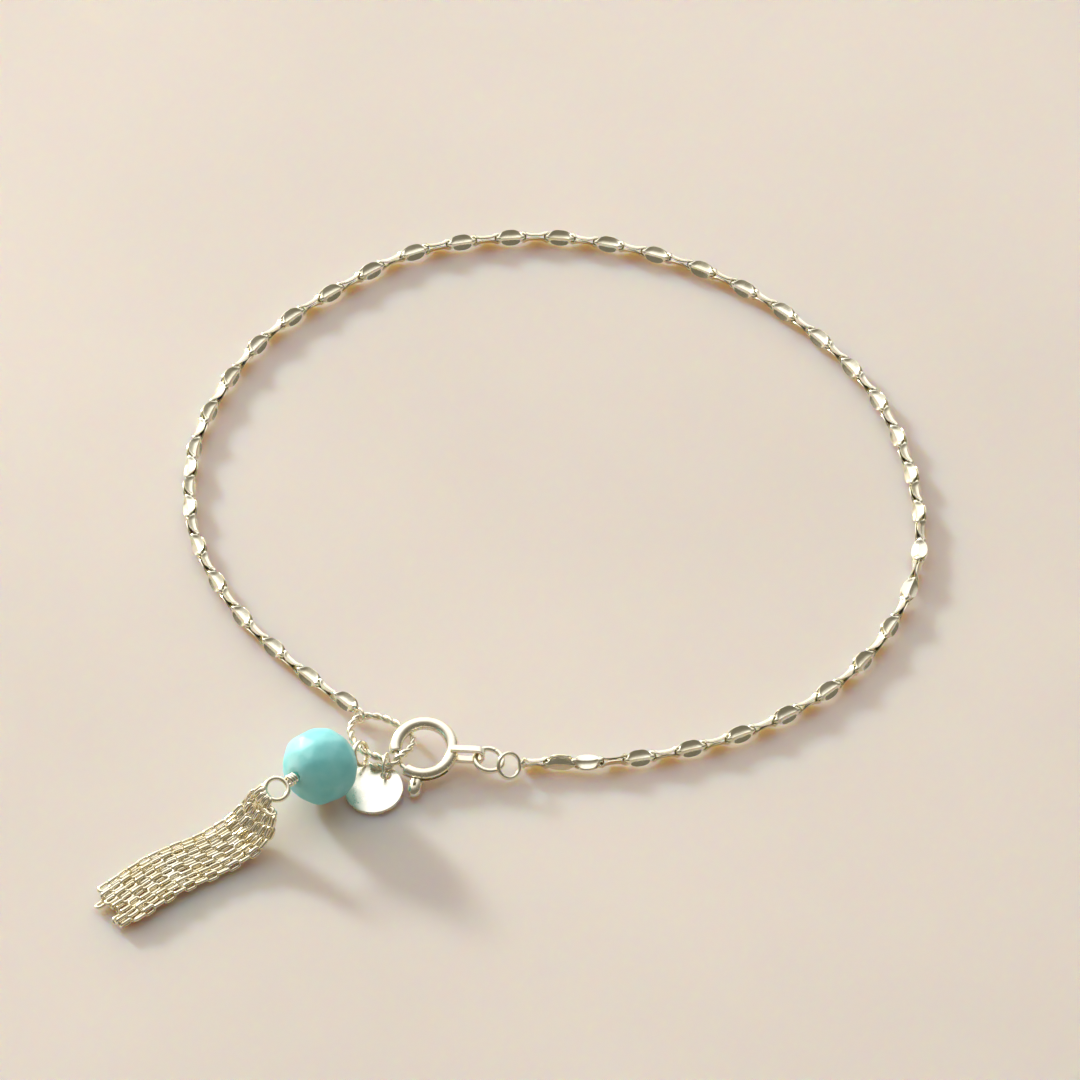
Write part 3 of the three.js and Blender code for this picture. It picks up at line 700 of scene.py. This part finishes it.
def buildClasp(clasp, strap):
    ring = meshObject("springRingTube", claspTube(clasp))
    outwardFaces(ring)
    slot = meshObject("slotCutter", outerSlot(clasp))
    outwardFaces(slot)
    cutBy(ring, slot)
    tag = meshObject("strapTag", strapShape(clasp, strap))
    outwardFaces(tag)
    finishedPiece(ring, "clasp_ring", "bracelet", claspGold)
    finishedPiece(tag, "clasp_ring", "bracelet", claspGold)

    pinPlaces = [np.array(clasp["centre"]) + claspWay(clasp, angle) * clasp["radius"]
                 for angle in np.linspace(clasp["boltTip"] + clasp["boltTipInset"], clasp["boltHeel"], 40)]
    outward = claspWay(clasp, clasp["knobAngle"])
    foot = np.array(clasp["centre"]) + outward * clasp["radius"]
    knob = meshObject("thumbKnob", turnedShape(foot, outward, knobProfile(clasp)))
    outwardFaces(knob)
    normal = unit(clasp["normal"])
    sideways = np.cross(normal, outward)
    slitOut = clasp["tubeRadius"] + clasp["knobGap"] + clasp["knobSlitLength"] / 2
    slitMiddle = foot + outward * slitOut + normal * clasp["knobSlitRise"]
    slit = meshObject("slitCutter", blockShape(slitMiddle, sideways * clasp["knobSlit"] / 2,
                                               outward * (clasp["knobSlitLength"] / 2 + 0.02),
                                               normal * clasp["knobSlitHalfDepth"]))
    outwardFaces(slit)
    cutBy(knob, slit)
    finishedPiece(knob, "clasp_bolt", "bolt", claspGold)
    pin = wire(pinPlaces, clasp["boltRadius"], 20)
    stemTop = clasp["tubeRadius"] + clasp["stemPastTube"]
    stem = turnedShape(foot, outward, [(0, clasp["stemRadius"]), (stemTop, clasp["stemRadius"])], 16)
    newPiece("springRingBolt", joined([pin, stem]), "clasp_bolt", "bolt", claspGold)


buildClasp(claspRing, strapTag)
tagRing = {"centre": (-3.645, -21.318, 1.045), "normal": (0.146, -0.032, 0.989), "radius": 0.985, "wire": 0.2}
newPiece("tagJumpRing", jumpRingShape(tagRing, 60), "tag_ring", "bracelet", claspGold)
print("spring ring made")


# Twisted ring: two strands laid round each other

twistedRing = {
    "route": [
        (-12.05, -21.72, 0.95), (-11.45, -21.85, 0.94), (-10.9, -21.85, 0.95), (-10.35, -21.65, 1.18),
        (-9.99, -21.32, 1.42),
        (-9.36, -20.62, 1.26), (-9.01, -19.54, 0.96), (-9.48, -18.36, 0.67), (-10.32, -17.61, 0.56),
        (-11.62, -17.04, 0.6), (-12.86, -17.23, 0.82), (-13.45, -18.2, 1.12), (-13.42, -19.55, 1.36),
        (-12.73, -20.73, 1.44), (-12.2, -21.08, 1.5), (-11.6, -21.38, 1.5), (-11.0, -21.58, 1.45),
    ],
    "strandRadius": 0.155,
    "strandOffset": 0.135,
    "twistPitch": 1.5,
    "stepsPerMm": 16,
}


def buildTwistedRing(rope):
    route = smoothCurve(rope["route"])
    total = lengthsAlong(route)[-1]
    steps = round(total * rope["stepsPerMm"])
    middle = placesAt(route, np.linspace(0, total, steps + 1))
    rights, tops = carriedFrames(middle, start=up)
    turns = 2 * math.pi * total * np.arange(steps + 1) / steps / rope["twistPitch"]
    strands = []
    for half in (0, math.pi):
        places = middle + rope["strandOffset"] * (np.cos(turns + half)[:, None] * rights
                                                  + np.sin(turns + half)[:, None] * tops)
        strands.append(wire(places, rope["strandRadius"], 12))
    return newPiece("twistedRingStrands", joined(strands), "twisted_ring", "bracelet", claspGold)


buildTwistedRing(twistedRing)


# Disc tag and its ring

def buildDisc(disc):
    normal = unit(disc["normal"])
    x = acrossOf(normal)
    y = np.cross(normal, x)
    centre = np.array(disc["centre"])
    hole = np.array(disc["holeCentre"]) - centre
    holePlace = np.array([hole @ x, hole @ y])
    half, soft = disc["thickness"] / 2, disc["edgeRounding"]
    # the section from the hole's wall over the face to the rim, as share out, inset and height
    corner = [(soft * (1 - math.sin(a)), half - soft * (1 - math.cos(a)))
              for a in np.linspace(math.pi / 2, 0, 5)]
    profile = [(0, inset, high) for inset, high in corner]
    profile += [(share, 0, half) for share in (0.06, 0.3, 0.6, 0.94)]
    profile += [(1, -inset, high) for inset, high in corner[::-1]]
    profile += [(share, inset, -high) for share, inset, high in profile[::-1]]
    sections = []
    for angle in np.linspace(0, 2 * math.pi, 96, endpoint=False):
        way = np.array([math.cos(angle), math.sin(angle)])
        section = []
        for share, inset, high in profile:
            inner = holePlace + way * (disc["holeRadius"] + (soft - inset if share == 0 else soft))
            outer = way * (disc["radius"] - soft + (soft + inset if share == 1 else 0))
            flat = inner * (1 - share) + outer * share
            section.append(centre + x * flat[0] + y * flat[1] + normal * high)
        sections.append(section)
    return newPiece("discTagPlate", loft(sections, closed=True), "disc_tag", "bracelet", discGold, 50)


buildDisc(discTag)
discRing = {"centre": (-10.94, -21.884, 1.04), "normal": (0.978, -0.147, 0.148), "radius": 0.886, "wire": 0.115}
newPiece("discJumpRing", jumpRingShape(discRing, 80), "disc_ring", "bracelet", claspGold)
print("twisted ring and disc made")


# Bead and its wire

bead = {
    "centre": (-15.59, -23.28, 2.83),
    "axis": (-0.68, -0.657, 0.324),
    "holeRadius": 0.28,
    "sides": 10,
    "rows": [(-2.42, 0.8), (-1.98, 1.83), (-0.95, 2.7), (0.95, 2.7), (1.98, 1.83), (2.42, 0.8)],
    "cellLevels": 4,
    "wear": 40,
}
beadWire = {
    "shaftRadius": 0.18,
    "wrapWire": 0.15,
    "wrapRadius": 0.3,
    "wrapLength": 0.62,
    "wrapTurns": 3,
    "wrapStart": 0.12,
    "leftEye": {"centre": (-18.576, -25.935, 3.6), "normal": (0.103, -0.32, 0.942), "radius": 0.82, "wire": 0.18},
    "rightEye": {"centre": (-12.751, -21.124, 1.529), "normal": (0.846, -0.343, 0.409), "radius": 0.823,
                 "wire": 0.165},
}


def buildBead(stone):
    axis = unit(stone["axis"])
    right = acrossOf(axis)
    top = np.cross(axis, right)
    rows = [(stone["rows"][0][0], stone["holeRadius"]), *stone["rows"], (stone["rows"][-1][0], stone["holeRadius"])]
    sections = []
    for i, (along, radius) in enumerate(rows):
        angles = 2 * math.pi * (np.arange(stone["sides"]) + (i % 2) / 2) / stone["sides"]
        circle = np.cos(angles)[:, None] * right + np.sin(angles)[:, None] * top
        sections.append(np.array(stone["centre"]) + axis * along + circle * radius)
    points, quads = loft(sections, closed=True)
    triangles = []
    for a, b, c, d in quads:
        row = a // stone["sides"]
        triangles += [(a, b, c), (a, c, d)] if row % 2 else [(a, b, d), (b, c, d)]
    piece = meshObject("facetedBead", (points, triangles))
    outwardFaces(piece)
    cells = piece.modifiers.new("small cells", "SUBSURF")
    cells.subdivision_type = "SIMPLE"
    cells.levels = stone["cellLevels"]
    worn = piece.modifiers.new("worn facets", "SMOOTH")
    worn.factor = 0.5
    worn.iterations = stone["wear"]
    applied(piece)
    return finishedPiece(piece, "bead", "bracelet", beadStone, 60)


def rimTowards(ring, point):
    # the place on a ring's middle line that is nearest to a point
    normal = unit(ring["normal"])
    way = np.array(point) - np.array(ring["centre"])
    return np.array(ring["centre"]) + unit(way - normal * np.dot(way, normal)) * ring["radius"]


def buildBeadWire(stone, pin):
    axis = unit(stone["axis"])
    centre = np.array(stone["centre"])
    leftHole = centre + axis * stone["rows"][-1][0]
    rightHole = centre + axis * stone["rows"][0][0]
    leftRim, rightRim = rimTowards(pin["leftEye"], leftHole), rimTowards(pin["rightEye"], rightHole)
    shaft = wire(smoothCurve([leftRim, leftHole, centre, rightHole, rightRim], 10), pin["shaftRadius"], 16)
    wrapWay = unit(leftRim - leftHole)
    right = acrossOf(wrapWay)
    top = np.cross(wrapWay, right)
    steps = 28 * pin["wrapTurns"]
    turns = 2 * math.pi * pin["wrapTurns"] * np.arange(steps + 1) / steps
    start = leftHole + wrapWay * pin["wrapStart"]
    coil = (start + wrapWay * (pin["wrapLength"] * np.arange(steps + 1) / steps)[:, None]
            + pin["wrapRadius"] * (np.cos(turns)[:, None] * right + np.sin(turns)[:, None] * top))
    shapes = [shaft, wire(coil, pin["wrapWire"], 12), ringShape(pin["leftEye"]), ringShape(pin["rightEye"])]
    return newPiece("wrappedBeadWire", joined(shapes), "bead_wire", "bracelet", tasselGold)


buildBead(bead)
buildBeadWire(bead, beadWire)
print("bead made")


# Tassel: thirteen fine cable chains in two layers

tassel = {
    "strands": [
        {"onEye": 178, "share": 3, "reach": 4.6}, {"onEye": 188, "share": 2, "reach": 4.95},
        {"onEye": 198, "share": 1, "reach": 5.05}, {"onEye": 207, "share": 0, "reach": 4.65},
        {"onEye": 217, "share": -1, "reach": 4.65}, {"onEye": 227, "share": -2, "reach": 4.9},
        {"onEye": 238, "share": -3, "reach": 4.4},
    ],
    "run": (-0.8, -0.6, 0),
    # the bundle's middle line, with the spacing of its strands there
    "middleLine": [
        {"place": (-19.5, -26.8, 2.75), "spacing": 0.42},
        {"place": (-20.5, -27.65, 1.1), "spacing": 0.56},
        {"place": (-22.35, -28.85, 0.44), "spacing": 0.58},
        {"place": (-26.4, -31.2, 0.44), "spacing": 0.61},
    ],
    # upper strands, and strands below that fill the gaps between them
    "layers": [{"between": False, "lift": 0.15}, {"between": True, "lift": -0.07}],
    "endSpacing": 0.6,
    "endSideways": -0.25,
    "hangOut": 0.28,  # where a strand's first two places lie out from the eye's wire and below it
    "hangBelow": 0.1,
    "swingOut": 0.55,
    "swingBelow": 0.42,
    "linkPitch": 0.88,
    "linkOuterWidth": 0.72,
    "linkWire": 0.14,
    "roll": 14,  # degrees that the flat links lean, and how much each may differ
    "looseness": 12,
    "steps": 24,
    "sides": 10,
    "seed": 5,
}


def bundleStrands(bundle):
    # every strand of both layers: the lower ones lie halfway between two upper ones
    strands = []
    for layer, row in enumerate(bundle["layers"]):
        partners = bundle["strands"][1:] if row["between"] else bundle["strands"]
        for one, two in zip(bundle["strands"], partners):
            strand = {key: (one[key] + two[key]) / 2 for key in one}
            strands.append({**strand, "lift": row["lift"], "order": len(strands) + layer})
    return strands


def strandPath(bundle, strand):
    run = unit(bundle["run"])
    sideways = np.cross(up, run) * -1
    eye = onCircle(beadWire["leftEye"], strand["onEye"])
    outward = unit(eye - np.array(beadWire["leftEye"]["centre"]))
    places = [eye + outward * bundle["hangOut"] - up * bundle["hangBelow"],
              eye + outward * bundle["swingOut"] - up * bundle["swingBelow"]]
    for row in bundle["middleLine"]:
        places.append(np.array(row["place"]) + sideways * strand["share"] * row["spacing"] + up * strand["lift"])
    last = np.array(bundle["middleLine"][-1]["place"]) + up * strand["lift"]
    places.append(last + run * strand["reach"]
                  + sideways * (strand["share"] * bundle["endSpacing"] + bundle["endSideways"]))
    return smoothCurve(places)


def cableLink(middle, along, wide, bundle):
    # one oval link of round wire lying in the plane of along and wide
    straight = bundle["linkPitch"] / 2 + bundle["linkWire"] - bundle["linkOuterWidth"] / 2
    bend = bundle["linkOuterWidth"] / 2 - bundle["linkWire"]
    places = []
    for i in range(bundle["steps"]):
        angle = 2 * math.pi * (i + 0.5) / bundle["steps"]
        offset = straight if math.cos(angle) > 0 else -straight
        places.append(middle + along * (offset + bend * math.cos(angle)) + wide * bend * math.sin(angle))
    return wire(places, bundle["linkWire"], bundle["sides"], closed=True, start=np.cross(along, wide))


def buildTassel(bundle):
    chance = random.Random(bundle["seed"])
    shapes = []
    for strand in bundleStrands(bundle):
        path = strandPath(bundle, strand)
        total = lengthsAlong(path)[-1]
        spots = np.arange(0.1, total, bundle["linkPitch"])
        middles = placesAt(path, spots)
        ways = placesAt(path, np.minimum(spots + 0.1, total)) - placesAt(path, np.maximum(spots - 0.1, 0))
        side = np.cross(up, unit(bundle["run"]))
        for i, middle in enumerate(middles):
            way = unit(ways[i])
            side = unit(side - way * np.dot(side, way))
            # flat links lie beside the upright links of the next strand
            roll = bundle["roll"] + 90 * ((i + strand["order"]) % 2)
            roll += chance.uniform(-1, 1) * bundle["looseness"]
            shapes.append(cableLink(middle, way, turnedAbout(side, way, roll), bundle))
    return newPiece("tasselChains", joined(shapes), "tassel", "bracelet", tasselGold)


buildTassel(tassel)
print("tassel made")


# Floor, light and camera

studio = {
    "floorColour": (0.67, 0.61, 0.555),
    "floorGlow": (1.0, 0.5, 0.12),
    "floorGlowDepth": 6.0,
    "floorWeight": 1.0,
    "floorSize": 3.0,
    "floorCloudsPerMm": 0.02,
    "floorPaler": 1.06,
    "floorRoughness": 0.55,
    # the room is brightest towards a wide window behind the bracelet
    "windowWay": (-0.2, 0.74, 0.64),
    "room": [(0.0, (0.13, 0.12, 0.095)), (0.4, (0.22, 0.20, 0.17)), (0.60, (0.52, 0.50, 0.465)),
             (0.78, (0.95, 0.94, 0.92)), (1.0, (1.0, 1.0, 1.0))],
    "roomStrength": 1.48,
    "distance": 485.04,  # mm from the middle of the loop, as the pictured angle and lens give
    "elevation": 50.0,
    "lens": 220.17,
    "sensor": 36.0,
}
softLights = [
    {"name": "keyLamp", "from": (-0.72, 0.72, 0.37), "size": (0.14, 0.14), "power": 13.5,
     "colour": (1.0, 0.95, 0.87)},
]


def paleFloor():
    half = studio["floorSize"] / 2
    mesh = bpy.data.meshes.new("paleFloor")
    mesh.from_pydata([(-half, -half, 0), (half, -half, 0), (half, half, 0), (-half, half, 0)], [], [(0, 1, 2, 3)])
    floor = bpy.data.objects.new("paleFloor", mesh)
    bpy.context.scene.collection.objects.link(floor)
    material, tree, shader = nodeTree("paleFloor")
    clouds = noiseAt(tree, studio["floorCloudsPerMm"], 3)
    base = studio["floorColour"]
    paler = tuple(min(c * studio["floorPaler"], 1) for c in base)
    colours = ramp(tree, clouds.outputs["Fac"], [(0.35, base), (0.65, paler)])
    tree.links.new(colours.outputs["Color"], shader.inputs["Base Color"])
    shader.inputs["Roughness"].default_value = studio["floorRoughness"]
    shader.inputs["Subsurface Weight"].default_value = studio["floorWeight"]
    shader.inputs["Subsurface Radius"].default_value = studio["floorGlow"]
    shader.inputs["Subsurface Scale"].default_value = studio["floorGlowDepth"] * mm
    floor.data.materials.append(material)


def studioLights():
    world = bpy.data.worlds.new("studioWorld")
    world.use_nodes = True
    tree = world.node_tree
    direction = tree.nodes.new("ShaderNodeTexCoord")
    towards = tree.nodes.new("ShaderNodeVectorMath")
    towards.operation = "DOT_PRODUCT"
    towards.inputs[1].default_value = unit(studio["windowWay"])
    tree.links.new(direction.outputs["Generated"], towards.inputs[0])
    brightness = ramp(tree, towards.outputs["Value"], studio["room"])
    tree.links.new(brightness.outputs["Color"], tree.nodes["Background"].inputs["Color"])
    tree.nodes["Background"].inputs["Strength"].default_value = studio["roomStrength"]
    bpy.context.scene.world = world
    for row in softLights:
        light = bpy.data.lights.new(row["name"], "AREA")
        light.shape = "RECTANGLE"
        light.size, light.size_y = row["size"]
        light.energy = row["power"]
        light.color = row["colour"]
        lamp = bpy.data.objects.new(row["name"], light)
        lamp.location = row["from"]
        lamp.rotation_euler = (-Vector(row["from"])).to_track_quat("-Z", "Y").to_euler()
        bpy.context.scene.collection.objects.link(lamp)


def plainColours():
    view = bpy.context.scene.view_settings
    view.view_transform = "Standard"
    view.look = "None"


def studioCamera():
    camera = bpy.data.cameras.new("studioCamera")
    camera.lens = studio["lens"]
    camera.sensor_width = studio["sensor"]
    camera.sensor_fit = "HORIZONTAL"
    camera.clip_start = 0.01
    camera.clip_end = 20
    eye = bpy.data.objects.new("studioCamera", camera)
    tilt = math.radians(studio["elevation"])
    place = np.array([0, -studio["distance"] * math.cos(tilt), studio["distance"] * math.sin(tilt)])
    eye.location = (place + shift) * mm
    eye.rotation_euler = (math.radians(90) - tilt, 0, 0)
    bpy.context.scene.collection.objects.link(eye)
    bpy.context.scene.camera = eye


paleFloor()
studioLights()
studioCamera()
plainColours()
print("stage made")
